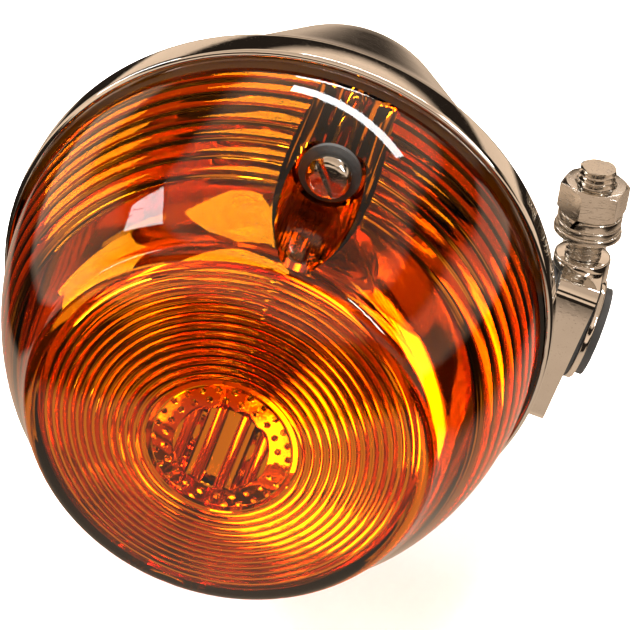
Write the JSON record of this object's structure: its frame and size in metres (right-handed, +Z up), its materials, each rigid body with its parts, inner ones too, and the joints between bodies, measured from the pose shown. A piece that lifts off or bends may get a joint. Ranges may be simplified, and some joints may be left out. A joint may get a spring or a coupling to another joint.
{
  "type": "turn signal indicator",
  "caption": "Bullet-shaped round turn signal lamp with a deep amber lens, chrome housing, side stem and stud-mounted stirrup clamp.",
  "frame": {"origin": "on the clamp stud's axis, where the stud leaves the round seat of the clamp", "axes": "+Z up the stud, -Y the way the lens faces, +X from the lamp towards the clamp"},
  "size_m": [0.0963, 0.1196, 0.0878],
  "materials": {
    "amber_lens": "moulded amber acrylic, glossy",
    "chrome": "bright chrome plate",
    "plated_steel": "bright zinc or nickel plate",
    "zinc_steel": "zinc plated pressed steel",
    "rubber": "black moulded rubber",
    "mirror": "polished reflector",
    "brass": "plain brass",
    "phenolic": "brown phenolic board",
    "clear_glass": "clear glass",
    "black_glass": "dark vitreous bead",
    "solder": "soft solder",
    "tungsten": "drawn tungsten wire",
    "spring_steel": "spring wire"
  },
  "bodies": {
    "clamp": {"clamp_stirrup": "chrome", "clamp_liner": "rubber", "clamp_saddle": "zinc_steel", "clamp_stud": "plated_steel"},
    "washers": {"flat_washers": "plated_steel", "lock_washer": "plated_steel"},
    "nut": {"stud_nut": "plated_steel"},
    "lamp": {"lens": "amber_lens", "lens_screws": "plated_steel", "screw_washers": "rubber", "screw_tabs": "zinc_steel", "lens_gasket": "rubber", "housing": "chrome", "side_stem": "chrome", "stem_lock_nut": "zinc_steel", "wire_bush": "rubber", "reflector": "mirror", "bulb_holder": "zinc_steel", "holder_rivets": "brass", "holder_end_cap": "phenolic", "feed_terminal": "brass", "earth_terminal": "brass", "contact_spring": "spring_steel"},
    "bulb": {"bulb_glass": "clear_glass", "bulb_base": "brass", "bulb_pins": "brass", "bulb_insulator": "black_glass", "bulb_contact": "solder", "glass_mount": "clear_glass", "filament_posts": "plated_steel", "filament": "tungsten"},
    "plunger": {"contact_carrier": "phenolic", "centre_contact": "brass"}
  },
  "joints": [
    {"name": "washer_slide", "type": "slide", "parent": "clamp", "child": "washers", "axis": [0, 0, -1], "range_m": [0, 0.004]},
    {"name": "nut_turn", "type": "hinge", "parent": "washers", "child": "nut", "pos_m": [0, 0, 0.01], "axis": [0, 0, -1], "range_deg": [0, 1440]},
    {"name": "stem_tilt", "type": "hinge", "parent": "clamp", "child": "lamp", "pos_m": [-0.00209, 0, -0.013], "axis": [0.9781, 0, -0.2079], "range_deg": [-20, 20]},
    {"name": "bulb_push", "type": "slide", "parent": "lamp", "child": "bulb", "axis": [0, 1, 0], "range_m": [0, 0.0022], "stiffness_N_per_m": 1800, "springref_m": -0.003},
    {"name": "plunger_slide", "type": "slide", "parent": "lamp", "child": "plunger", "axis": [0, 1, 0], "range_m": [0, 0.0022], "deforming": ["contact_spring"]}
  ],
  "couplings": [
    {"joint": "nut_turn", "follows": "washer_slide", "rad_per_m": 6283.2},
    {"joint": "plunger_slide", "follows": "bulb_push", "ratio": 1}
  ]
}
